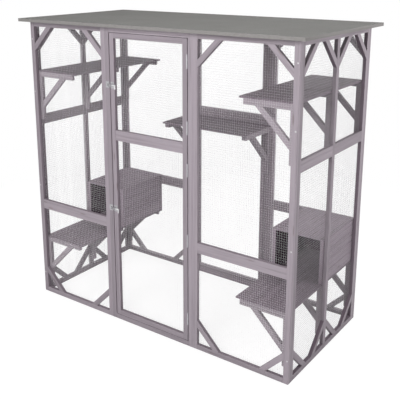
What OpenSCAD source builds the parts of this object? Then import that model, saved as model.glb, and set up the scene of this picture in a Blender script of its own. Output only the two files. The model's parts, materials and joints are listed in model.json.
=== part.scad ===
// Outdoor cat house: a walk-in timber cage with shelves, two box dens and a hinged door.
// Front faces -Y, left is -X. The origin is on the ground under the middle of the cage.

/* [Cage] */
// Width of the cage over the side walls
cage_w = 1800; // [1740:10:2100]
// Depth of the cage over the front and back walls
cage_d = 847; // [800:1:920]
// Height of the wall panels
wall_h = 1763; // [1740:1:1800]

/* [Timber] */
// Width of a frame stick
stick_w = 30; // [26:1:34]
// Thickness of a frame stick
stick_t = 20; // [16:1:24]
// Width of the wide middle rails
rail_w = 60; // [40:1:70]
// Height of the low middle rail's lower edge
low_rail_z = 580; // [540:1:620]
// Distance from a corner to the near edge of its brace
brace_in = 103; // [80:1:120]
// Gap left between two sticks that are joined
joint_gap = 0.2; // [0.1:0.1:0.4]

/* [Roof] */
// Thickness of the roof boards
roof_t = 18; // [12:1:24]
// Roof overhang at the sides
roof_side = 48; // [20:1:60]
// Roof overhang at the front and back
roof_front = 50; // [20:1:60]
// Width of the seams between the roof boards
roof_seam = 0.6; // [0.4:0.1:2]

/* [Wire mesh] */
// Thickness of the wire mesh, both layers of wires together
net_t = 2; // [1:0.1:2.4]
// Width of one wire of the mesh
wire_w = 1.5; // [1:0.5:3]
// Spacing of the wires, a coarse stand-in for the fine mesh
net_pitch = 72; // [72:1:90]
// Overlap of the mesh on the front and back frames
net_lap = 8; // [5:1:9]
// Overlap of the mesh on the side frames
side_lap = 26; // [10:1:27]

/* [Door] */
// Gap at each side of the door leaf
door_gap = 5; // [4:0.5:6]
// Gap above and below the door leaf
door_end_gap = 2.5; // [2:0.5:5]
// Depth of the upper bolt's centre below the top of the wall
upper_bolt_down = 323; // [260:1:400]
// Height of the lower bolt's centre
lower_bolt_z = 712; // [700:1:800]
// Length of a hinge
hinge_len = 70; // [50:1:90]
// Depths of the upper hinges' centres below the top of the wall
hinge_down = [149, 497, 727];
// Heights of the lower hinges' centres
hinge_up = [636, 169];
// Thickness of a hinge leaf
leaf_t = 1.5; // [1:0.1:1.6]
// Depth of a hinge leaf in the seam
leaf_d = 16; // [10:1:18]
// Radius of the hinge barrel
barrel_r = 3.5; // [3:0.1:4]
// Radius of the hinge pin
pin_r = 1.5; // [1:0.1:2]
// Clearance round the hinge pin
pin_fit = 0.05; // [0.02:0.01:0.1]
// Gap between two knuckles of a hinge
knuckle_gap = 0.4; // [0.3:0.1:1]

/* [Bolts] */
// Radius of a bolt's rod
rod_r = 4; // [3:0.1:5]
// Clearance round the rod in its guides
rod_fit = 0.3; // [0.2:0.1:0.5]
// Play round the rod in its keeper
keeper_play = 1; // [0.5:0.1:2]
// Travel of a bolt
bolt_travel = 20; // [18:1:24]
// Thickness of the bolt's metal plates
plate_t = 2; // [1:0.5:3]
// Height of the bolt's metal plates
plate_h = 36; // [32:1:40]
// Length of one rod guide
guide_l = 4; // [3:0.5:5]
// Distance between the two rod guides
guide_space = 3; // [2:0.5:4]
// Metal round the rod in a guide or keeper
strap_t = 2; // [1.5:0.5:3]
// Drop of the bolt's handle
handle_drop = 22; // [16:1:28]

/* [Shelves] */
// Width of the shelf boards
shelf_w = 315; // [280:1:340]
// Thickness of the shelf boards
board_t = 9; // [6:1:12]
// Height of the upper shelves' tops
upper_z = 1467; // [1420:1:1500]
// Height of the middle shelf's top
middle_z = 1126; // [1100:1:1150]
// Height of the lower shelves' tops
lower_z = 388; // [370:1:420]
// Length of a bracket's arm
arm_l = 290; // [260:1:300]
// Height of a bracket's leg, arm included
leg_l = 300; // [280:1:330]
// Distance from a bracket's corner to the near edge of its strut
strut_in = 150; // [120:1:165]
// Clearance of the boards from the wire mesh
board_gap = 0.3; // [0.2:0.1:1]

/* [Dens] */
// Height of the den roofs' tops
den_z = 650; // [620:1:680]
// Width of the den's corner posts
den_post_w = 22; // [18:1:26]
// Depth of the den's corner posts
den_post_d = 20; // [15:1:25]
// Thickness of the den's siding
siding_t = 10; // [8:1:14]
// Number of siding boards, one above the other
siding_n = 4; // [3:1:5]
// Width of the bevel along a siding board's edge
siding_bevel = 3; // [2:0.5:4]

/* [Fasteners] */
// Radius of a wood screw's shank
screw_r = 2; // [1.5:0.1:2.5]
// Radius of a wood screw's head
screw_head_r = 4; // [3.5:0.1:4.5]
// Height of a wood screw's countersunk head
screw_head_h = 2.5; // [2:0.1:3]
// Length of a wood screw
screw_l = 42; // [38:1:48]
// Length of the screws in the fixed leaf
leaf_screw_l = 52; // [46:1:58]
// Depths of the upper corner screws below the top of the wall
corner_screw_down = [106, 427];
// Heights of the lower corner screws
corner_screw_up = [732, 132];
// Depth of the fixed leaf's upper screws below the top of the wall
leaf_screw_down = [263];
// Heights of the fixed leaf's lower screws
leaf_screw_up = [900, 300];
// Distance of the roof screws from the posts' far edges
roof_screw_in = 120; // [80:1:200]
// Clearance of a screw in its hole
screw_fit = 0.05; // [0.02:0.01:0.1]
// Radius of a small screw's shank
small_screw_r = 1.25; // [1:0.05:1.5]
// Radius of a small screw's head
small_head_r = 2.3; // [2:0.1:2.5]
// Height of a small screw's countersunk head
small_head_h = 0.9; // [0.6:0.1:1]
// Length of a small screw in the wood
small_screw_l = 12; // [8:1:14]

/* [Hidden] */
$fn = 40;
wood = [0.66, 0.63, 0.66];
roof_grey = [0.52, 0.52, 0.5];
zinc = [0.75, 0.76, 0.78];

// Each of the front and back walls has three panels of this width
panel_w = cage_w / 3;
// The roof is made of three boards of this width
roof_w = (cage_w + 2 * roof_side) / 3;
// A side panel stands between the front and back walls
side_w = cage_d - 2 * stick_t;
// The side panels have their middle rail as high from the top as the others from the ground
high_rail_z = wall_h - low_rail_z - rail_w;
// Width of a brace or strut measured along the stick that it meets
brace_run = stick_w * sqrt(2);
// Inner face of the mesh, which the brackets lie on
lining = stick_t + net_t;
// The door leaf, measured from the left end of the front wall
leaf_x0 = panel_w + stick_w + door_gap;
leaf_w = panel_w - 2 * stick_w - 2 * door_gap;
leaf_z0 = stick_w + door_end_gap;
leaf_h = wall_h - 2 * leaf_z0;
// Extra length of a cut past each end of its piece
cut = 1;
// The hinges stand in the seam at the right of the door leaf, their barrels in front of it
barrel_gap = 0.5;
hinge_x = leaf_x0 + leaf_w + door_gap / 2;
hinge_y = -barrel_r - barrel_gap;
knuckle_l = (hinge_len - 2 * knuckle_gap) / 3;
leaf_lap = 1;
pin_head_h = 1.2;
pin_head_r = 2 * pin_r;
// The bolts, measured from the door leaf's left edge; the rod is drawn back
rod_y = -plate_t - rod_r - keeper_play;
plate_margin = 2;
plate_w = stick_w - 2 * plate_margin;
guide_in = 1;
guide_u = plate_margin + guide_in;
guides_end = guide_u + 2 * guide_l + guide_space;
rod_start = 1;
handle_r = 3;
handle_gap = 1;
handle_u = guides_end + handle_r + handle_gap + bolt_travel;
rod_end = handle_u + handle_r;
rod_reach = 2;
keeper_u = rod_start - bolt_travel + rod_reach;
keeper_l = 8;
keeper_plate_u = -door_gap - plate_margin - plate_w;
screw_edge = 5;
small_screw_z = plate_h / 2 - screw_edge;
hinge_screw_y = leaf_d - screw_edge;
hinge_screw_z = [0.2, 0.8];
// The dens stand on the back half of the lower shelves
den_front = cage_d / 2 - stick_w / 2;
den_depth = cage_d - lining - board_gap - den_front;
den_wall_h = den_z - board_t - lower_z;
hinge_z = [for (d = hinge_down) wall_h - d, for (u = hinge_up) u];
upper_bolt_z = wall_h - upper_bolt_down;
// Heights of the screws in the corners and in the fixed leaf
corner_screw_z = [for (d = corner_screw_down) wall_h - d, for (u = corner_screw_up) u];
leaf_screw_z = [for (d = leaf_screw_down) wall_h - d, for (u = leaf_screw_up) u];

// Places a panel's own frame (x along the wall, y inward) on each wall
module on_front(u = 0) {
    translate([u - cage_w / 2, -cage_d / 2, 0]) children();
}
module on_back(u = 0) {
    translate([u - cage_w / 2, cage_d / 2, 0]) mirror([0, 1, 0]) children();
}
module on_left() {
    translate([-cage_w / 2, stick_t - cage_d / 2, 0]) mirror([1, -1, 0]) children();
}
module on_right() {
    mirror([1, 0, 0]) on_left() children();
}

// A stick with its length along z, or along x
module upright(x, z0, z1, w = stick_w) {
    translate([x, 0, z0]) cube([w, stick_t, z1 - z0]);
}
module rail(x0, x1, z, h = stick_w) {
    translate([x0 + joint_gap, 0, z]) cube([x1 - x0 - 2 * joint_gap, stick_t, h]);
}

// A diagonal stick in the corner at x, z, which runs to the side dx and up or down by dz
module corner_stick(x, z, dx, dz, near, t = stick_t) {
    far = near + brace_run;
    outline = [[near, joint_gap], [far, joint_gap], [joint_gap, far], [joint_gap, near]];
    translate([x, t, z]) rotate([90, 0, 0]) linear_extrude(t)
        polygon([for (p = outline) [dx * p[0], dz * p[1]]]);
}

// Wire mesh of w by h on the inner face of a wall, upright wires first and cross wires over them
module net(x, z, w, h) {
    nx = floor(w / net_pitch);
    nz = floor(h / net_pitch);
    wire_t = (net_t - joint_gap) / 2;
    for (i = [0:nx])
        translate([x + i * (w - wire_w) / nx, stick_t, z]) cube([wire_w, wire_t, h]);
    for (j = [0:nz])
        translate([x, stick_t + net_t - wire_t, z + j * (h - wire_w) / nz]) cube([w, wire_t, wire_w]);
}

// One wall panel of the front or back
module panel_frame(rail_z) {
    upright(0, 0, wall_h);
    upright(panel_w - stick_w, 0, wall_h);
    for (z = [0, wall_h - stick_w]) rail(stick_w, panel_w - stick_w, z);
    rail(stick_w, panel_w - stick_w, rail_z, rail_w);
}
module bay_braces(x0, x1) {
    for (top = [0, 1], right = [0, 1])
        corner_stick(right ? x1 : x0, top ? wall_h - stick_w : stick_w,
            right ? -1 : 1, top ? -1 : 1, brace_in);
}
module panel_mesh() {
    net(stick_w - net_lap, stick_w - net_lap,
        panel_w - 2 * (stick_w - net_lap), wall_h - 2 * (stick_w - net_lap));
}

// One side wall, with a stick up its middle
module side_frame() {
    mid = side_w / 2;
    for (x = [0, side_w - stick_w]) upright(x, 0, wall_h);
    for (z = [0, wall_h - stick_w]) rail(stick_w, side_w - stick_w, z);
    upright(mid - stick_w / 2, stick_w + joint_gap, wall_h - stick_w - joint_gap);
    rail(stick_w, mid - stick_w / 2, high_rail_z, rail_w);
    rail(mid + stick_w / 2, side_w - stick_w, high_rail_z, rail_w);
}
module side_braces() {
    bay_braces(stick_w, side_w / 2 - stick_w / 2);
    bay_braces(side_w / 2 + stick_w / 2, side_w - stick_w);
}
module side_mesh() {
    net(stick_w - side_lap, stick_w - net_lap,
        side_w - 2 * (stick_w - side_lap), wall_h - 2 * (stick_w - net_lap));
}

// The opening that a leaf stands in, and the leaf
module surround() {
    upright(0, 0, wall_h);
    upright(panel_w - stick_w, 0, wall_h);
    for (z = [0, wall_h - stick_w]) rail(stick_w, panel_w - stick_w, z);
}
module leaf_frame(z0) {
    x0 = stick_w + door_gap;
    x1 = x0 + leaf_w;
    z1 = leaf_z0 + leaf_h;
    upright(x0, z0, z1);
    upright(x1 - stick_w, z0, z1);
    for (z = [z0, z1 - stick_w]) rail(x0 + stick_w, x1 - stick_w, z);
    rail(x0 + stick_w, x1 - stick_w, high_rail_z, rail_w);
}
module leaf_mesh(z0) {
    inset = stick_w - net_lap;
    net(stick_w + door_gap + inset, z0 + inset, leaf_w - 2 * inset, leaf_z0 + leaf_h - z0 - 2 * inset);
}

// A countersunk screw that points down, with its head flush at z = 0; e makes its hole
module screw(l = screw_l, e = 0) {
    translate([0, 0, -l]) cylinder(h = l, r = screw_r + e);
    translate([0, 0, -screw_head_h]) cylinder(h = screw_head_h, r1 = screw_r + e, r2 = screw_head_r + e);
}
// Screws through the front and back panels into the side panels
module corner_screw_set(e = 0) {
    for (back = [0, 1], right = [0, 1], z = corner_screw_z)
        mirror([right, 0, 0]) mirror([0, back, 0])
            translate([stick_t / 2 - cage_w / 2, -cage_d / 2, z]) rotate([90, 0, 0]) screw(e = e);
}
// Screws through the roof boards into the top rails
module roof_screw_set(e = 0) {
    for (back = [0, 1], i = [0:2], u = [roof_screw_in, panel_w - roof_screw_in])
        mirror([0, back, 0])
            translate([i * panel_w + u - cage_w / 2, stick_t / 2 - cage_d / 2, wall_h + roof_t])
                screw(e = e);
}
// Screws through the back surround into its fixed leaf
module leaf_screw_set(e = 0) {
    for (right = [0, 1], z = leaf_screw_z)
        mirror([right, 0, 0]) on_back(panel_w)
            translate([0, stick_t / 2, z]) rotate([0, -90, 0]) screw(leaf_screw_l, e);
}

// A shelf bracket: its back on x = 0, its top at z = 0, and its thickness along y
module bracket(t = stick_t) {
    translate([0, 0, -stick_w]) cube([arm_l, t, stick_w]);
    translate([0, 0, -leg_l]) cube([stick_w, t, leg_l - stick_w - joint_gap]);
    corner_stick(stick_w, -stick_w, 1, -1, strut_in, t);
}
module side_brackets(z) {
    for (y = [stick_t + net_t + board_gap, cage_d / 2 - stick_t / 2, cage_d - stick_t - lining - board_gap])
        translate([lining - cage_w / 2, y - cage_d / 2, z - board_t]) bracket();
}
module side_board(z) {
    margin = lining + board_gap;
    translate([margin - cage_w / 2, margin - cage_d / 2, z - board_t])
        cube([shelf_w, cage_d - 2 * margin, board_t]);
}

// The pieces of one den, on the left
module den_posts() {
    x0 = lining + board_gap - cage_w / 2;
    for (x = [x0, x0 + shelf_w - den_post_w], y = [den_front, den_front + den_depth - den_post_d])
        translate([x, y - cage_d / 2, lower_z]) cube([den_post_w, den_post_d, den_wall_h]);
}
module siding_board(l, h) {
    rotate([90, 0, 0]) mirror([0, 0, 1]) linear_extrude(l) polygon([
        [0, 0], [siding_t - siding_bevel, 0], [siding_t, siding_bevel],
        [siding_t, h - siding_bevel], [siding_t - siding_bevel, h], [0, h]
    ]);
}
module den_siding() {
    x0 = lining + board_gap - cage_w / 2;
    y0 = den_front + den_post_d + joint_gap - cage_d / 2;
    l = den_depth - 2 * den_post_d - 2 * joint_gap;
    pitch = den_wall_h / siding_n;
    for (i = [0:siding_n - 1]) {
        z = lower_z + i * pitch;
        translate([x0 + shelf_w - siding_t, y0, z]) siding_board(l, pitch - joint_gap);
        translate([x0 + siding_t, y0, z]) mirror([1, 0, 0]) siding_board(l, pitch - joint_gap);
    }
}
module den_back() {
    x0 = lining + board_gap - cage_w / 2 + den_post_w + joint_gap;
    translate([x0, cage_d / 2 - lining - board_gap - board_t, lower_z])
        cube([shelf_w - 2 * den_post_w - 2 * joint_gap, board_t, den_wall_h]);
}
module den_roof() {
    translate([lining + board_gap - cage_w / 2, den_front - cage_d / 2, den_z - board_t])
        cube([shelf_w, den_depth, board_t]);
}

// Hinges of the door: the barrel stands in front of the seam
module at_hinges() {
    for (z = hinge_z) on_front(hinge_x) translate([0, hinge_y, z - hinge_len / 2]) children();
}
module hinge_bore() {
    translate([0, 0, -cut]) cylinder(h = hinge_len + 2 * cut, r = pin_r + pin_fit);
}
// Leaf of a hinge with the knuckles in the list; its plate lies at x0 from the axis
module hinge_leaf(x0, side, knuckles) {
    difference() {
        union() {
            translate([x0, -hinge_y, 0]) cube([leaf_t, leaf_d, hinge_len]);
            for (k = knuckles) translate([0, 0, k * (knuckle_l + knuckle_gap)]) {
                cylinder(h = knuckle_l, r = barrel_r);
                translate([x0, 0, 0]) cube([leaf_t, leaf_lap - hinge_y, knuckle_l]);
            }
        }
        hinge_bore();
        hinge_screw_places(side) small_screw(leaf_t, screw_fit);
    }
}
// Places the screws of a hinge's leaf, with side -1 for the door and 1 for the post
module hinge_screw_places(side) {
    for (v = hinge_screw_z)
        translate([side * door_gap / 2, hinge_screw_y - hinge_y, v * hinge_len])
            rotate([0, 0, -90 * side]) children();
}
module hinge_pin() {
    cylinder(h = hinge_len, r = pin_r);
    for (z = [-pin_head_h, hinge_len])
        translate([0, 0, z]) cylinder(h = pin_head_h, r = pin_head_r);
}

// Bolts of the door, in a frame at the leaf's left edge
module at_bolt(z) {
    on_front(leaf_x0) translate([0, 0, z]) children();
}
module rod_bore(e) {
    translate([-stick_w, rod_y, 0]) rotate([0, 90, 0]) cylinder(h = 3 * stick_w, r = rod_r + e);
}
module strap(u, l, reach) {
    top = rod_y - rod_r - reach - strap_t;
    half = rod_r + reach + strap_t;
    translate([u, top, -half]) cube([l, -plate_t - top, 2 * half]);
}
// Small countersunk screw into +y through metal of thickness t; e makes its hole
module small_screw(t, e = 0) {
    translate([0, -t, 0]) rotate([-90, 0, 0]) {
        cylinder(h = t + small_screw_l, r = small_screw_r + e);
        cylinder(h = small_head_h, r1 = small_head_r + e, r2 = small_screw_r + e);
    }
}
module plate_screws(e = 0) {
    for (z = [upper_bolt_z, lower_bolt_z]) at_bolt(z)
        for (v = [-small_screw_z, small_screw_z], side = [-1, 1])
            translate([(stick_w + side * (plate_w - 2 * screw_edge)) / 2, 0, v]) small_screw(plate_t, e);
}
module keeper_screws(e = 0) {
    for (z = [upper_bolt_z, lower_bolt_z]) at_bolt(z)
        for (v = [-small_screw_z, small_screw_z])
            translate([keeper_plate_u + plate_w / 2, 0, v]) small_screw(plate_t, e);
}
module door_screw_set(e = 0) {
    plate_screws(e);
    at_hinges() hinge_screw_places(-1) small_screw(leaf_t, e);
}
module cage_screw_set(e = 0) {
    keeper_screws(e);
    at_hinges() hinge_screw_places(1) small_screw(leaf_t, e);
}
module bolt_plate(z) {
    difference() {
        at_bolt(z) {
            translate([plate_margin, -plate_t, -plate_h / 2]) cube([plate_w, plate_t, plate_h]);
            for (i = [0, 1]) strap(guide_u + i * (guide_l + guide_space), guide_l, rod_fit);
        }
        at_bolt(z) rod_bore(rod_fit);
        plate_screws(screw_fit);
    }
}
module bolt_rod(z) {
    at_bolt(z) {
        translate([rod_start, rod_y, 0]) rotate([0, 90, 0]) cylinder(h = rod_end - rod_start, r = rod_r);
        translate([handle_u, rod_y, -handle_drop]) cylinder(h = handle_drop, r = handle_r);
    }
}
module bolt_keeper(z) {
    half = rod_r + keeper_play;
    difference() {
        at_bolt(z) {
            translate([keeper_plate_u, -plate_t, -plate_h / 2]) cube([plate_w, plate_t, plate_h]);
            strap(keeper_u, keeper_l, keeper_play);
        }
        at_bolt(z) translate([keeper_u - cut, rod_y - half, -half])
            cube([keeper_l + 2 * cut, 2 * half, 2 * half]);
        keeper_screws(screw_fit);
    }
}

// Sub-parts
module wall_frame(colour = wood) {
    color(colour) difference() {
        children();
        corner_screw_set(screw_fit);
        roof_screw_set(screw_fit);
    }
}
module front_left_frame() wall_frame() on_front() panel_frame(low_rail_z);
module front_left_braces() color(wood) on_front() bay_braces(stick_w, panel_w - stick_w);
module front_left_mesh() color(zinc) on_front() panel_mesh();
module front_right_frame() wall_frame() on_front(2 * panel_w) panel_frame(low_rail_z);
module front_right_braces() color(wood) on_front(2 * panel_w) bay_braces(stick_w, panel_w - stick_w);
module front_right_mesh() color(zinc) on_front(2 * panel_w) panel_mesh();
module doorway_frame() {
    color(wood) difference() {
        wall_frame() on_front(panel_w) surround();
        cage_screw_set(screw_fit);
    }
}
module door_leaf() {
    color(wood) difference() {
        on_front(panel_w) leaf_frame(leaf_z0);
        door_screw_set(screw_fit);
    }
}
module door_mesh() color(zinc) on_front(panel_w) leaf_mesh(leaf_z0);
module back_left_frame() wall_frame() on_back() panel_frame(low_rail_z);
module back_left_braces() color(wood) on_back() bay_braces(stick_w, panel_w - stick_w);
module back_left_mesh() color(zinc) on_back() panel_mesh();
module back_right_frame() wall_frame() on_back(2 * panel_w) panel_frame(low_rail_z);
module back_right_braces() color(wood) on_back(2 * panel_w) bay_braces(stick_w, panel_w - stick_w);
module back_right_mesh() color(zinc) on_back(2 * panel_w) panel_mesh();
module back_middle_surround() {
    color(wood) difference() {
        wall_frame() on_back(panel_w) surround();
        leaf_screw_set(screw_fit);
    }
}
module back_middle_leaf() {
    color(wood) difference() {
        on_back(panel_w) leaf_frame(stick_w);
        leaf_screw_set(screw_fit);
    }
}
module back_middle_mesh() color(zinc) on_back(panel_w) leaf_mesh(stick_w);
module back_leaf_screws() color(zinc) leaf_screw_set();
module left_side_frame() wall_frame() on_left() side_frame();
module left_side_braces() color(wood) on_left() side_braces();
module left_side_mesh() color(zinc) on_left() side_mesh();
module right_side_frame() wall_frame() on_right() side_frame();
module right_side_braces() color(wood) on_right() side_braces();
module right_side_mesh() color(zinc) on_right() side_mesh();
module roof_board(x0, x1) {
    wall_frame(roof_grey)
        translate([x0, -cage_d / 2 - roof_front, wall_h]) cube([x1 - x0, cage_d + 2 * roof_front, roof_t]);
}
module roof_left() roof_board(-cage_w / 2 - roof_side, -roof_w / 2 - roof_seam / 2);
module roof_middle() roof_board(-roof_w / 2 + roof_seam / 2, roof_w / 2 - roof_seam / 2);
module roof_right() roof_board(roof_w / 2 + roof_seam / 2, cage_w / 2 + roof_side);
module wood_screws() {
    color(zinc) {
        corner_screw_set();
        roof_screw_set();
    }
}
module upper_left_shelf() color(wood) side_board(upper_z);
module upper_left_brackets() color(wood) side_brackets(upper_z);
module upper_right_shelf() color(wood) mirror([1, 0, 0]) side_board(upper_z);
module upper_right_brackets() color(wood) mirror([1, 0, 0]) side_brackets(upper_z);
module middle_shelf() {
    color(wood) translate([-panel_w / 2, cage_d / 2 - lining - board_gap - shelf_w, middle_z - board_t])
        cube([panel_w, shelf_w, board_t]);
}
module middle_brackets() {
    color(wood) for (right = [0, 1])
        mirror([right, 0, 0]) translate([stick_w - panel_w / 2, cage_d / 2 - stick_t, middle_z - board_t])
            rotate([0, 0, -90]) mirror([0, 1, 0]) bracket(stick_w);
}
module lower_left_shelf() color(wood) side_board(lower_z);
module lower_left_brackets() color(wood) side_brackets(lower_z);
module lower_right_shelf() color(wood) mirror([1, 0, 0]) side_board(lower_z);
module lower_right_brackets() color(wood) mirror([1, 0, 0]) side_brackets(lower_z);
module left_den_posts() color(wood) den_posts();
module left_den_siding() color(wood) den_siding();
module left_den_back() color(wood) den_back();
module left_den_roof() color(wood) den_roof();
module right_den_posts() color(wood) mirror([1, 0, 0]) den_posts();
module right_den_siding() color(wood) mirror([1, 0, 0]) den_siding();
module right_den_back() color(wood) mirror([1, 0, 0]) den_back();
module right_den_roof() color(wood) mirror([1, 0, 0]) den_roof();
module hinge_post_leaves() color(zinc) at_hinges() hinge_leaf(door_gap / 2 - leaf_t, 1, [0, 2]);
module hinge_door_leaves() color(zinc) at_hinges() hinge_leaf(-door_gap / 2, -1, [1]);
module hinge_pins() color(zinc) at_hinges() hinge_pin();
module upper_bolt_plate() color(zinc) bolt_plate(upper_bolt_z);
module upper_bolt_rod() color(zinc) bolt_rod(upper_bolt_z);
module upper_bolt_keeper() color(zinc) bolt_keeper(upper_bolt_z);
module lower_bolt_plate() color(zinc) bolt_plate(lower_bolt_z);
module lower_bolt_rod() color(zinc) bolt_rod(lower_bolt_z);
module lower_bolt_keeper() color(zinc) bolt_keeper(lower_bolt_z);
module door_small_screws() color(zinc) door_screw_set();
module cage_small_screws() color(zinc) cage_screw_set();

front_left_frame();
front_left_braces();
front_left_mesh();
front_right_frame();
front_right_braces();
front_right_mesh();
doorway_frame();
door_leaf();
door_mesh();
back_left_frame();
back_left_braces();
back_left_mesh();
back_right_frame();
back_right_braces();
back_right_mesh();
back_middle_surround();
back_middle_leaf();
back_middle_mesh();
back_leaf_screws();
left_side_frame();
left_side_braces();
left_side_mesh();
right_side_frame();
right_side_braces();
right_side_mesh();
roof_left();
roof_middle();
roof_right();
wood_screws();
upper_left_shelf();
upper_left_brackets();
upper_right_shelf();
upper_right_brackets();
middle_shelf();
middle_brackets();
lower_left_shelf();
lower_left_brackets();
lower_right_shelf();
lower_right_brackets();
left_den_posts();
left_den_siding();
left_den_back();
left_den_roof();
right_den_posts();
right_den_siding();
right_den_back();
right_den_roof();
hinge_post_leaves();
hinge_door_leaves();
hinge_pins();
upper_bolt_plate();
upper_bolt_rod();
upper_bolt_keeper();
lower_bolt_plate();
lower_bolt_rod();
lower_bolt_keeper();
door_small_screws();
cage_small_screws();
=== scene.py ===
import json
import math
import random

import bmesh
import bpy
import numpy as np
from mathutils import Matrix, Vector


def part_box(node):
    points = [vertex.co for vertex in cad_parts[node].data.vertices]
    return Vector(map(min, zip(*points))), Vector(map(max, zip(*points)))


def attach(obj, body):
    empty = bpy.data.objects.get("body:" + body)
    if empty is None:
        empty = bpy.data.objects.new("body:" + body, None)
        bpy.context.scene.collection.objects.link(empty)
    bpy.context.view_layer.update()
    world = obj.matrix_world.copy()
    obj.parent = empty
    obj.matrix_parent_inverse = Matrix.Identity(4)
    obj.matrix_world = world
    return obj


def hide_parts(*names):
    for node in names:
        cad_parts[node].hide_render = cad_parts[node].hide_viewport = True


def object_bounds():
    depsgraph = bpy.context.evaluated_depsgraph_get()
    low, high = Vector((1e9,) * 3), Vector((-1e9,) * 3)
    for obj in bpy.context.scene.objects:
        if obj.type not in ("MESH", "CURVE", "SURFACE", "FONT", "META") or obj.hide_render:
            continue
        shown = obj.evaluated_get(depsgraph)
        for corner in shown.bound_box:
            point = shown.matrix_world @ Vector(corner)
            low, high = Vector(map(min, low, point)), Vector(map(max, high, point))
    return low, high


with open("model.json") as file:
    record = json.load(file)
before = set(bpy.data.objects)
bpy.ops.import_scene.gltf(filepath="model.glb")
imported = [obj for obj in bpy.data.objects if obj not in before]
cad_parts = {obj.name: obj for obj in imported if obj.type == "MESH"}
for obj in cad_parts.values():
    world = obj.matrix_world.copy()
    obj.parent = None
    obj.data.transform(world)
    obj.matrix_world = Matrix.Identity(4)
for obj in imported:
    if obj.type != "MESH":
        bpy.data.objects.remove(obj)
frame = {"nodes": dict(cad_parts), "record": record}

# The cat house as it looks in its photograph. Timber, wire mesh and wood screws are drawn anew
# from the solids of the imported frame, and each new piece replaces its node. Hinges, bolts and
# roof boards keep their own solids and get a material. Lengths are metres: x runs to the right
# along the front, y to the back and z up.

CAD_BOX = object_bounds()
CAGE_HEART = (Vector(CAD_BOX[0]) + Vector(CAD_BOX[1])) / 2
NODES = frame["nodes"]
BODIES = frame["record"]["behaviour"]["bodies"]
BODY = {node: body for body, nodes in BODIES.items() for node in nodes}
SLOT = {part["node"]: part["material_slot"] for part in frame["record"]["subparts"]}
SCREWS = ("wood_screws", "back_leaf_screws")
SAME = 1e-5                     # points closer than this are one point
rng = random.Random(7)


# Node helpers: t is always a node tree, and a colour or factor is a socket or plain numbers

def shading(owner, output):
    """The emptied node tree of a material or world, and its new output node."""
    owner.use_nodes = True
    t = owner.node_tree
    t.nodes.clear()
    return t, t.nodes.new(output)


def feed(t, socket, value):
    """Link a socket to another one, or set its value."""
    if isinstance(value, bpy.types.NodeSocket):
        t.links.new(value, socket)
    else:
        socket.default_value = value


def put(t, kind, inputs=None, **props):
    """A new node with its properties set and its inputs fed."""
    n = t.nodes.new(kind)
    for key, value in props.items():
        setattr(n, key, value)
    for key, value in (inputs or {}).items():
        feed(t, n.inputs[key], value)
    return n


def rgba(colour):
    return colour if isinstance(colour, bpy.types.NodeSocket) else (*colour, 1.0)


def tinted(colour, tint):
    return tuple(c * k for c, k in zip(colour, tint))


def attribute(t, name, output="Fac"):
    return put(t, "ShaderNodeAttribute", attribute_name=name).outputs[output]


def noise(t, at, scale, detail, rough, distort=0.0):
    """Noise with its own scale, in cycles per metre, along each axis."""
    scaled = put(t, "ShaderNodeMapping", {"Vector": at, "Scale": scale})
    n = put(t, "ShaderNodeTexNoise", {"Vector": scaled.outputs[0], "Scale": 1.0,
                                      "Detail": detail, "Roughness": rough,
                                      "Distortion": distort})
    return n.outputs["Fac"]


def ramp(t, factor, *stops):
    """A colour ramp; each stop is its position and its colour."""
    n = put(t, "ShaderNodeValToRGB", {"Fac": factor})
    elements = n.color_ramp.elements
    while len(elements) < len(stops):
        elements.new(0.5)
    for element, (position, colour) in zip(elements, stops):
        element.position = position
        element.color = rgba(colour)
    return n.outputs["Color"]


def mix(t, factor, a, b, mode="MIX"):
    """Two colours mixed: a Mix node keeps its colours at inputs 6 and 7 and at output 2."""
    n = put(t, "ShaderNodeMix", {0: factor}, data_type="RGBA", blend_type=mode)
    feed(t, n.inputs[6], rgba(a))
    feed(t, n.inputs[7], rgba(b))
    return n.outputs[2]


def span(t, value, source, target=(0.0, 1.0)):
    """The value carried over from one range to another and held at both ends."""
    n = put(t, "ShaderNodeMapRange", {"Value": value,
                                      "From Min": source[0], "From Max": source[1],
                                      "To Min": target[0], "To Max": target[1]})
    return n.outputs[0]


def facing_up(t):
    """1 where a surface faces up, and 0 where it stands."""
    normal = put(t, "ShaderNodeNewGeometry").outputs["Normal"]
    return span(t, put(t, "ShaderNodeSeparateXYZ", {0: normal}).outputs["Z"], (0.5, 0.9))


def bump(t, shader, height, strength, distance):
    n = put(t, "ShaderNodeBump", {"Height": height, "Strength": strength, "Distance": distance})
    t.links.new(n.outputs[0], shader.inputs["Normal"])


# Materials of the object

def material(name):
    m = bpy.data.materials.new(name)
    t, out = shading(m, "ShaderNodeOutputMaterial")
    shader = put(t, "ShaderNodeBsdfPrincipled")
    t.links.new(shader.outputs[0], out.inputs[0])
    return m, t, shader


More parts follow.
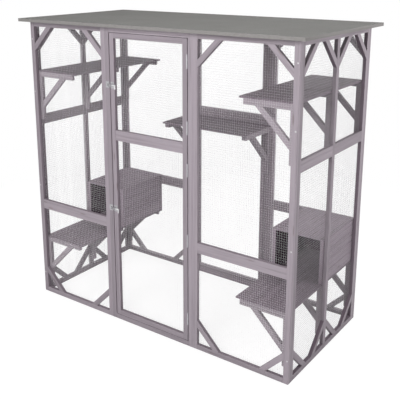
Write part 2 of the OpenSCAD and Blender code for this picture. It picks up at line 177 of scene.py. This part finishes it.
def wood(name, pale, mid, dark, knots, wear=0.5):
    """Softwood under a worn grey wash. It reads three attributes of the mesh: "gp" is the place
    in the grain, which runs along x, "tone" differs for each stick, and the third is painted
    shade: it darkens a face that looks into the cage or a den, and takes its sheen away."""
    m, t, shader = material(name)
    grain = attribute(t, "gp", "Vector")
    rings = noise(t, grain, (2.2, 75.0, 75.0), detail=3.0, rough=0.5, distort=0.6)
    fibre = noise(t, grain, (14.0, 620.0, 620.0), detail=3.0, rough=0.6)
    patch = noise(t, grain, (2.5, 14.0, 14.0), detail=3.0, rough=0.6)
    wash = noise(t, grain, (9.0, 60.0, 60.0), detail=5.0, rough=0.65)
    col = ramp(t, rings, (0.3, dark), (0.45, mid), (0.62, pale), (0.8, mid))
    col = mix(t, span(t, fibre, (0.35, 0.7), (0.0, 0.35)), col, dark)
    col = mix(t, span(t, patch, (0.38, 0.7), (0.0, wear)), col, pale)

    cells = put(t, "ShaderNodeMapping", {"Vector": grain, "Scale": (4.6, 26.0, 26.0)})
    cell = put(t, "ShaderNodeTexVoronoi", {"Vector": cells.outputs[0], "Scale": 1.0,
                                           "Randomness": 1.0})
    from_knot = cell.outputs["Distance"]
    brown = tinted(dark, (0.62, 0.52, 0.46))
    col = mix(t, span(t, from_knot, (0.07, 0.16), (knots, 0.0)), col, brown)
    col = mix(t, span(t, from_knot, (0.14, 0.3), (0.28 * knots, 0.0)), col, dark)

    light = span(t, attribute(t, "tone"), (0.0, 1.0), (0.86, 1.1))
    grey = put(t, "ShaderNodeCombineColor", {0: light, 1: light, 2: light})
    col = mix(t, 1.0, col, grey.outputs[0], "MULTIPLY")
    # painted shade: faces that look into the cage or a den are darkened here, and lose their
    # sheen below
    inside = attribute(t, "inside")
    col = mix(t, inside, col, tinted(dark, (0.31, 0.2, 0.28)))
    feed(t, shader.inputs["Base Color"], col)
    feed(t, shader.inputs["Roughness"], span(t, wash, (0.3, 0.75), (0.55, 0.82)))
    feed(t, shader.inputs["Specular IOR Level"], span(t, inside, (0.0, 1.0), (0.35, 0.0)))

    half_rings = put(t, "ShaderNodeMath", {0: rings, 1: 0.5}, operation="MULTIPLY")
    relief = put(t, "ShaderNodeMath", {0: half_rings.outputs[0], 1: fibre}, operation="ADD")
    bump(t, shader, relief.outputs[0], strength=0.45, distance=0.0006)
    return m


def metal(name, colour, rough, scale=180.0, dulled=0.72, top=None):
    """Zinc plate with a faint spangle and dull, worn patches; rough is its range, and top the
    colour of what faces up, where that differs."""
    m, t, shader = material(name)
    at = put(t, "ShaderNodeTexCoord").outputs["Object"]
    cloud = noise(t, at, (scale,) * 3, detail=4.0, rough=0.6)
    grain = noise(t, at, (scale * 6,) * 3, detail=2.0, rough=0.6)
    cell = put(t, "ShaderNodeTexVoronoi", {"Vector": at, "Scale": scale * 2.0})
    spangle = put(t, "ShaderNodeSeparateColor", {0: cell.outputs["Color"]}).outputs[0]
    col = mix(t, span(t, cloud, (0.35, 0.7)), colour, tinted(colour, (dulled,) * 3))
    col = mix(t, span(t, spangle, (0.0, 1.0), (0.0, 0.18)), col, (0.95, 0.96, 0.98))
    if top:
        col = mix(t, facing_up(t), col, top)
    feed(t, shader.inputs["Base Color"], col)
    feed(t, shader.inputs["Roughness"], span(t, grain, (0.3, 0.7), rough))
    feed(t, shader.inputs["Metallic"], 1.0)
    bump(t, shader, cloud, strength=0.12, distance=0.0004)
    return m


def roofing(name):
    """Mineral felt on the top of the boards, and bare board on their edges and underside."""
    m, t, shader = material(name)
    at = put(t, "ShaderNodeTexCoord").outputs["Object"]
    up = facing_up(t)
    grit = noise(t, at, (900.0,) * 3, detail=2.0, rough=0.7)
    blotch = noise(t, at, (6.0,) * 3, detail=5.0, rough=0.6)
    felt = ramp(t, grit, (0.25, (0.14, 0.137, 0.13)), (0.5, (0.232, 0.229, 0.22)),
                (0.78, (0.335, 0.33, 0.319)))
    felt = mix(t, span(t, blotch, (0.35, 0.7), (0.0, 0.45)), felt, (0.28, 0.276, 0.265))
    ply = noise(t, at, (60.0, 2.5, 700.0), detail=4.0, rough=0.6, distort=0.3)
    edge = ramp(t, ply, (0.3, (0.2, 0.19, 0.185)), (0.55, (0.275, 0.263, 0.258)),
                (0.8, (0.33, 0.317, 0.312)))
    feed(t, shader.inputs["Base Color"], mix(t, up, edge, felt))
    feed(t, shader.inputs["Roughness"], 0.9)
    feed(t, shader.inputs["Specular IOR Level"], 0.2)
    bump(t, shader, mix(t, up, ply, grit), strength=0.5, distance=0.0012)
    return m


TIMBER = wood("timber", pale=(0.348, 0.304, 0.34), mid=(0.31, 0.27, 0.302),
              dark=(0.24, 0.206, 0.232), knots=0.55)
# the shelf boards: a darker copy of the timber, painted shade under the roof
SHADED_BOARD = wood("board", pale=(0.215, 0.169, 0.206), mid=(0.174, 0.136, 0.167),
             dark=(0.128, 0.099, 0.122), knots=0.45, wear=0.6)
DEN = wood("den_timber", pale=(0.332, 0.274, 0.323), mid=(0.282, 0.231, 0.274),
           dark=(0.201, 0.162, 0.193), knots=0.5)
ZINC = metal("zinc", (0.5, 0.49, 0.52), rough=(0.4, 0.55))
PLATE = metal("bolt_plate", (0.42, 0.41, 0.43), rough=(0.5, 0.65))
STEEL = metal("bolt_rod", (0.92, 0.92, 0.93), rough=(0.2, 0.32))
SCREW = metal("screw", (0.75, 0.74, 0.76), rough=(0.3, 0.45), top=(0.2, 0.2, 0.195))
WIRE = metal("wire", (0.94, 0.915, 0.935), rough=(0.2, 0.32), scale=90.0, dulled=0.92)
# the same wire made darker and duller for the side walls: painted shade
SHADED_SIDE_WIRE = metal("side_wire", (0.44, 0.42, 0.435), rough=(0.35, 0.5), scale=90.0, dulled=0.88)
ROOF = roofing("roof_felt")


# Pieces

def solids(node):
    """The corner points of each separate solid of a node."""
    bm = bmesh.new()
    bm.from_mesh(NODES[node].data)
    bmesh.ops.remove_doubles(bm, verts=bm.verts, dist=SAME)
    bm.verts.ensure_lookup_table()
    seen = set()
    groups = []
    for first in bm.verts:
        if first.index in seen:
            continue
        seen.add(first.index)
        stack, group = [first], []
        while stack:
            vert = stack.pop()
            group.append(vert.co.copy())
            for edge in vert.link_edges:
                other = edge.other_vert(vert)
                if other.index not in seen:
                    seen.add(other.index)
                    stack.append(other)
        groups.append(group)
    bm.free()
    return groups


def drawn(node, kind, verts, faces, mat):
    """A new mesh with its material, named after its node."""
    me = bpy.data.meshes.new(node + kind)
    me.from_pydata(verts, [], faces)
    me.materials.append(mat)
    return me


def place(me, node):
    """Put a new mesh in the place of a node, on the node's body and slot."""
    o = bpy.data.objects.new(me.name, me)
    bpy.context.scene.collection.objects.link(o)
    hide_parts(node)
    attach(o, BODY[node])


# Timber: each stick gets eased edges and a grain of its own

EASE = 0.0008                   # how far an edge is eased
EASE_PROFILE = 0.6              # its roundness
FLAT = 0.02                     # radians: triangles that meet at less are one flat face
SHARP = 0.35                    # radians: edges with more between their faces are eased
GRAIN_REACH = 40.0              # the grains are cut from this far each way along the axes
BRACE_SQUARE = 0.02             # a brace's box is square to this
BRACE_POINTS = 12               # and it has fewer corners than this
DEN_PAINTED_SHADE = 1.0                # the painted shade on a face that looks into its own den,
DEN_CAGE_PAINTED_SHADE = 0.25              # on a den's face that looks into the cage
SIDE_PAINTED_SHADE = 0.55             # and on the inner faces of the side walls
WALL_PAINTED_SHADE = 0.35             # and on all the other timber


def grain_axes(points):
    """A stick's centre and its axes, the longest first. A sloping brace, whose box is about as
    high as it is wide, gets them from the spread of its corners."""
    a = np.array([tuple(p) for p in points])
    lo, hi = a.min(0), a.max(0)
    size = hi - lo
    order = np.argsort(-size)
    axes = np.eye(3)[order]
    if abs(size[order[0]] - size[order[1]]) < BRACE_SQUARE and len(a) < BRACE_POINTS:
        spread, vectors = np.linalg.eigh(np.cov((a - a.mean(0)).T))
        axes = vectors[:, np.argsort(-spread)].T
    return (lo + hi) / 2, axes


def eased(points):
    """A stick's convex solid with its edges eased."""
    bm = bmesh.new()
    for p in points:
        bm.verts.new(p)
    hull = bmesh.ops.convex_hull(bm, input=bm.verts)
    inner = [g for g in hull["geom_interior"] if isinstance(g, bmesh.types.BMVert)]
    bmesh.ops.delete(bm, geom=inner, context="VERTS")
    bmesh.ops.dissolve_limit(bm, angle_limit=FLAT, verts=bm.verts, edges=bm.edges)
    bmesh.ops.recalc_face_normals(bm, faces=bm.faces)
    sharp = [e for e in bm.edges if e.calc_face_angle(0) > SHARP]
    bmesh.ops.bevel(bm, geom=sharp, offset=EASE, segments=2, affect="EDGES",
                    profile=EASE_PROFILE, clamp_overlap=True)
    bm.verts.ensure_lookup_table()
    bm.verts.index_update()
    return bm


def painted_shade_of(face, hearts):
    """The painted shade that the face gets from the first heart it looks towards."""
    at = face.calc_center_median()
    return next((value for heart, value in hearts if face.normal.dot(heart - at) > 0), 0.0)


def timber(node, mat, hearts):
    """hearts: points, each with the painted shade of the faces that look towards it."""
    verts, faces, grain, tone, inside = [], [], [], [], []
    for points in solids(node):
        bm = eased(points)
        centre, axes = grain_axes(points)
        shift = np.array([rng.uniform(-GRAIN_REACH, GRAIN_REACH) for _ in range(3)])
        shade = rng.random()
        base = len(verts)
        for v in bm.verts:
            verts.append(tuple(v.co))
            grain.append(axes @ (np.array(v.co) - centre) + shift)
            tone.append(shade)
        for f in bm.faces:
            faces.append([base + v.index for v in f.verts])
            # painted shade on the faces that look into the cage or a den
            inside.append(painted_shade_of(f, hearts))
        bm.free()
    me = drawn(node, "_wood", verts, faces, mat)
    for name, kind, domain, field, values in (
            ("gp", "FLOAT_VECTOR", "POINT", "vector", grain),
            ("tone", "FLOAT", "POINT", "value", tone),
            ("inside", "FLOAT", "FACE", "value", inside)):
        data = me.attributes.new(name, kind, domain).data
        data.foreach_set(field, np.array(values, dtype=np.float32).ravel())
    place(me, node)


def wood_of(node):
    """A timber node's material, and its hearts with the painted shade of the faces that look
    towards them.
    """
    if "_den_" in node:
        lo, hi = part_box(node.split("_den_")[0] + "_den_siding")
        den = (Vector(lo) + Vector(hi)) / 2
        beside = Vector((CAGE_HEART.x, den.y, CAGE_HEART.z))
        return DEN, ((den, DEN_PAINTED_SHADE), (beside, DEN_CAGE_PAINTED_SHADE))
    if SLOT[node] == "timber":
        return TIMBER, ((CAGE_HEART, SIDE_PAINTED_SHADE if "_side_" in node else WALL_PAINTED_SHADE),)
    # shelf boards take the darker copy of the timber, painted shade
    return SHADED_BOARD, ()


for n in NODES:
    if SLOT[n] in ("timber", "shelf_board"):
        timber(n, *wood_of(n))


# Wire mesh: welded wires, the uprights in front of the cross wires

WIRE_PITCH = 0.0128             # between neighbouring wires, about; it is adapted to fill the box
WIRE_R = 0.00036
WIRE_SIDES = 6


def wires(node):
    """Wires in two layers that fill the node's box."""
    lo, hi = (np.array(corner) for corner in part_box(node))
    thin = int(np.argmin(hi - lo))
    across = 1 - thin
    mid = (lo[thin] + hi[thin]) / 2
    off = (hi[thin] - lo[thin]) / 2 - WIRE_R
    verts, faces = [], []

    def wire(axis, other, at, depth):
        base, top = len(verts), len(verts) + WIRE_SIDES
        for end in (lo[axis], hi[axis]):
            for k in range(WIRE_SIDES):
                turn = 2 * math.pi * k / WIRE_SIDES
                p = [0.0, 0.0, 0.0]
                p[axis] = end
                p[other] = at + WIRE_R * math.cos(turn)
                p[thin] = depth + WIRE_R * math.sin(turn)
                verts.append(tuple(p))
        for k in range(WIRE_SIDES):
            j = (k + 1) % WIRE_SIDES
            faces.append([base + k, base + j, top + j, top + k])
        faces.append([base + k for k in range(WIRE_SIDES)])
        faces.append([top + k for k in reversed(range(WIRE_SIDES))])

    up = 2
    for axis, other, depth in ((up, across, mid - off), (across, up, mid + off)):
        length = hi[other] - lo[other] - 2 * WIRE_R
        count = round(length / WIRE_PITCH)
        for i in range(count + 1):
            wire(axis, other, lo[other] + WIRE_R + length * i / count, depth)
    # the side walls' wires get the darker copy of the wire, painted shade
    me = drawn(node, "_wires", verts, faces, SHADED_SIDE_WIRE if "_side_" in node else WIRE)
    bm = bmesh.new()
    bm.from_mesh(me)
    bmesh.ops.recalc_face_normals(bm, faces=bm.faces)
    bm.to_mesh(me)
    bm.free()
    place(me, node)


for n in NODES:
    if n.endswith("_mesh"):
        wires(n)


# Hinges, bolts and roof boards keep their own solids

def repaint(obj, mat):
    """Give an object of the frame a material without a change to its mesh."""
    for s in obj.material_slots:
        s.link = "OBJECT"
        s.material = mat
    if not obj.material_slots:
        obj.data.materials.append(mat)


for n, o in NODES.items():
    if SLOT[n] == "zinc" and n not in SCREWS:
        repaint(o, STEEL if n.endswith("_rod") else PLATE if "_bolt_" in n else ZINC)
    elif SLOT[n] == "roof_board":
        repaint(o, ROOF)


# Wood screws: countersunk heads with a cross recess, each turned its own way

HEAD_R = 0.004                  # radius of a screw's head
HEAD_RIM = 0.96                 # where the flat of the head begins, as a share of its radius
HEAD_PROUD = 0.0003             # how far a head stands out of a wall; on the roof it is flush
HEAD_SUNK = 0.0006              # how far its rim goes into the timber
HEAD_POINTS = 24                # points round the head
RECESS_DEPTH = 0.0011
RECESS_ARM = 0.62               # reach of the cross along its arms,
RECESS_WAIST = 0.22             # and between them, as shares of the radius
RECESS_TAPER = 0.75             # its floor, as a share of its mouth
RECESS_WIDTH = 0.55             # sine of twice the angle up to which a point is in an arm


def head_seat(points):
    """The middle of a screw's head, which is at its wider end, and the way the head looks."""
    a = np.array([tuple(p) for p in points])
    lo, hi = a.min(0), a.max(0)
    axis = int(np.argmax(hi - lo))
    low_end, high_end = (np.ptp(a[np.abs(a[:, axis] - end) < SAME], axis=0).max()
                         for end in (lo[axis], hi[axis]))
    at, out = (lo + hi) / 2, np.zeros(3)
    at[axis], out[axis] = (hi[axis], 1.0) if high_end > low_end else (lo[axis], -1.0)
    return at, out


def screw_heads(node):
    """A closed head for each screw: a rim in the timber, a flat face and the cross in it."""
    angles = [2 * math.pi * k / HEAD_POINTS for k in range(HEAD_POINTS)]
    cross = [RECESS_ARM if abs(math.sin(2 * q)) < RECESS_WIDTH else RECESS_WAIST for q in angles]
    verts, faces = [], []
    for points in solids(node):
        at, out = head_seat(points)
        proud = 0.0 if out[2] else HEAD_PROUD
        u = np.roll(out, 1)
        v = np.cross(out, u)
        turn = rng.uniform(0.0, math.pi)
        u, v = (u * math.cos(turn) + v * math.sin(turn),
                v * math.cos(turn) - u * math.sin(turn))
        rings = ((-HEAD_SUNK, [1.0] * HEAD_POINTS),
                 (proud, [HEAD_RIM] * HEAD_POINTS),
                 (proud, cross),
                 (proud - RECESS_DEPTH, [reach * RECESS_TAPER for reach in cross]))
        base = len(verts)
        for height, reaches in rings:
            for q, reach in zip(angles, reaches):
                side = u * math.cos(q) + v * math.sin(q)
                verts.append(tuple(at + out * height + side * reach * HEAD_R))
        for layer in range(len(rings) - 1):
            near = base + layer * HEAD_POINTS
            far = near + HEAD_POINTS
            for k in range(HEAD_POINTS):
                j = (k + 1) % HEAD_POINTS
                faces.append([near + k, near + j, far + j, far + k])
        faces.append([far + k for k in range(HEAD_POINTS)])
        faces.append([base + k for k in reversed(range(HEAD_POINTS))])
    place(drawn(node, "_heads", verts, faces, SCREW), node)


for n in SCREWS:
    screw_heads(n)


# Stage: what looks at the floor or past the object sees white, as in the photograph, and the
# light that reaches the object comes from a pale floor and a dim studio

WHITE = (1.0, 1.0, 1.0, 1.0)
FLOOR_REACH = 30.0              # half the floor's side
FLOOR_DROP = 0.0005             # how far it lies below the feet
FLOOR_SHADE = 0.18              # what of the seen floor takes shadows,
FLOOR_GLOW = 0.885              # and what of it is light by itself,
SHADE_FADE = (1.2, 3.0)         # from where to where it fades to plain white
FLOOR_PALE = 0.75               # the floor as the light meets it
STUDIO = 0.1                    # the world as the light meets it


def seen_directly(t):
    """1 for camera, glossy and transmission rays, and 0 for the others."""
    path = put(t, "ShaderNodeLightPath").outputs
    seen = path["Is Camera Ray"]
    for ray in ("Is Glossy Ray", "Is Transmission Ray"):
        seen = put(t, "ShaderNodeMath", {0: seen, 1: path[ray]}, operation="MAXIMUM").outputs[0]
    return seen


def diffuse(t, level):
    return put(t, "ShaderNodeBsdfDiffuse", {"Color": (level, level, level, 1.0)}).outputs[0]


def glow(t, strength):
    return put(t, "ShaderNodeEmission", {"Color": WHITE, "Strength": strength}).outputs[0]


def blend(t, factor, a, b):
    return put(t, "ShaderNodeMixShader", {0: factor, 1: a, 2: b}).outputs[0]


def stage_floor():
    m = bpy.data.materials.new("floor")
    t, out = shading(m, "ShaderNodeOutputMaterial")
    where = put(t, "ShaderNodeTexCoord").outputs["Object"]
    away = put(t, "ShaderNodeVectorMath", {0: where}, operation="LENGTH").outputs["Value"]
    near = put(t, "ShaderNodeAddShader", {0: diffuse(t, FLOOR_SHADE), 1: glow(t, FLOOR_GLOW)})
    seen = blend(t, span(t, away, SHADE_FADE), near.outputs[0], glow(t, 1.0))
    t.links.new(blend(t, seen_directly(t), diffuse(t, FLOOR_PALE), seen), out.inputs[0])
    me = bpy.data.meshes.new("floor")
    corners = ((-1, -1), (1, -1), (1, 1), (-1, 1))
    me.from_pydata([(x * FLOOR_REACH, y * FLOOR_REACH, -FLOOR_DROP) for x, y in corners], [],
                   [[0, 1, 2, 3]])
    me.materials.append(m)
    o = bpy.data.objects.new("floor", me)
    bpy.context.scene.collection.objects.link(o)


def studio_world():
    world = bpy.data.worlds.new("studio")
    bpy.context.scene.world = world
    t, out = shading(world, "ShaderNodeOutputWorld")
    strength = span(t, seen_directly(t), (0.0, 1.0), (STUDIO, 1.0))
    sky = put(t, "ShaderNodeBackground", {"Color": WHITE, "Strength": strength})
    t.links.new(sky.outputs[0], out.inputs[0])


stage_floor()
studio_world()


# Light: square lamps, each with its place, what it aims at, its side and its power in watts

LAMPS = {
    "key": ((0.7, -4.4, 2.8), (-0.2, 0.0, 0.9), 2.2, 178.0),
    "fill": ((2.9, 0.5, 1.9), (0.5, 0.0, 0.9), 1.6, 41.0),
    "top": ((0.2, 0.2, 4.8), (0.0, 0.0, 1.8), 2.4, 46.0),
    "back": ((-0.6, 3.2, 1.2), (0.0, 0.0, 0.9), 2.0, 44.0),
    "left": ((-3.2, 0.2, 1.2), (-0.5, 0.0, 0.9), 1.6, 32.0),
}


def lamp(name, at, aim, side, power):
    d = bpy.data.lights.new(name, "AREA")
    d.shape = "SQUARE"
    d.size = side
    d.energy = power
    o = bpy.data.objects.new(name, d)
    o.location = at
    o.rotation_euler = (Vector(aim) - Vector(at)).to_track_quat("-Z", "Y").to_euler()
    bpy.context.scene.collection.objects.link(o)


for name, settings in LAMPS.items():
    lamp(name, *settings)


# Camera: fitted to the photograph's straight edges, then shifted less than there, so that the
# views from other sides show the whole object too

PHOTO = 400.0                   # the photograph's side, in pixels
FOCAL = 677.6                   # focal length, in pixels
CENTRE = (190.1, 134.0)         # where the lens's axis meets the picture, in pixels
YAW, TILT, ROLL = (math.radians(angle) for angle in (35.91, 14.13, -0.1))
EYE = (2.2869, -3.1895, 2.0968)  # where the camera stands
SENSOR = 36.0                   # Blender's sensor, in millimetres
FAR = 100.0                     # how far the camera sees


def camera():
    d = bpy.data.cameras.new("camera")
    d.sensor_width = SENSOR
    d.lens = SENSOR * FOCAL / PHOTO
    d.shift_x = (PHOTO / 2 - CENTRE[0]) / PHOTO
    d.shift_y = (CENTRE[1] - PHOTO / 2) / PHOTO
    d.clip_end = FAR
    forward = Vector((-math.sin(YAW) * math.cos(TILT),
                      math.cos(YAW) * math.cos(TILT),
                      -math.sin(TILT)))
    level = Vector((math.cos(YAW), math.sin(YAW), 0.0))
    upright = level.cross(forward)
    right = math.cos(ROLL) * level + math.sin(ROLL) * upright
    up = math.cos(ROLL) * upright - math.sin(ROLL) * level
    turn = Matrix((right, up, -forward)).transposed().to_4x4()
    o = bpy.data.objects.new("camera", d)
    o.matrix_world = Matrix.Translation(EYE) @ turn
    bpy.context.scene.collection.objects.link(o)
    bpy.context.scene.camera = o


camera()
bpy.context.scene.view_settings.view_transform = "Standard"
